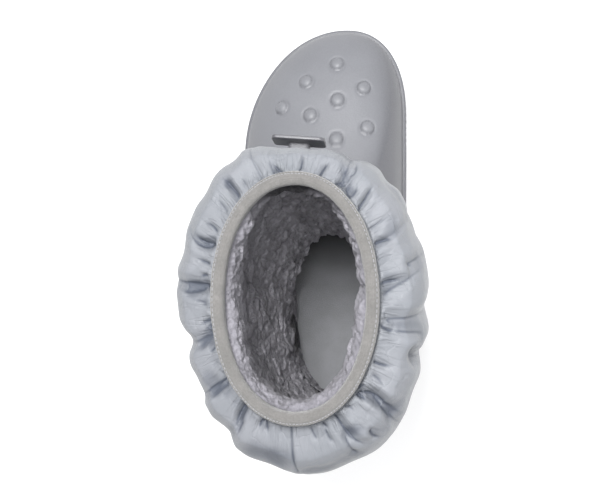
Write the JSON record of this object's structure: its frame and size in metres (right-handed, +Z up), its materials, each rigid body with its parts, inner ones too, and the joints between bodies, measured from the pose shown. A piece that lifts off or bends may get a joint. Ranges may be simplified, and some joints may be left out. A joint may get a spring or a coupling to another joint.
{
  "type": "winter boot",
  "caption": "Left winter boot: a foam clog with a ribbed sole and domed vamp, a puffy quilted nylon shaft, an elastic collar band, pile lining and a small rubber front tab.",
  "frame": {"origin": "on the floor under the middle of the heel, on the lug of the heel's tread", "axes": "+Y towards the toe, +X towards the inner side of the foot, +Z up"},
  "size_m": [0.1394, 0.2793, 0.236],
  "materials": {
    "sole_foam": "matte grey closed-cell foam with a fine grain and ribbed sides",
    "shell_foam": "smooth matte grey closed-cell foam with moulded domes",
    "insole_felt": "grey felt with a short flat nap",
    "shaft_nylon": "cool grey satin nylon over padding, gathered, with a grey pile lining inside",
    "band_elastic": "warm grey brushed knit binding with a stitched edge",
    "tab_rubber": "satin grey moulded rubber with plain raised bars"
  },
  "bodies": {
    "root": {"sole": "sole_foam", "shell": "shell_foam", "insole": "insole_felt", "shaft": "shaft_nylon", "collar_band": "band_elastic", "front_tab": "tab_rubber"}
  },
  "joints": []
}
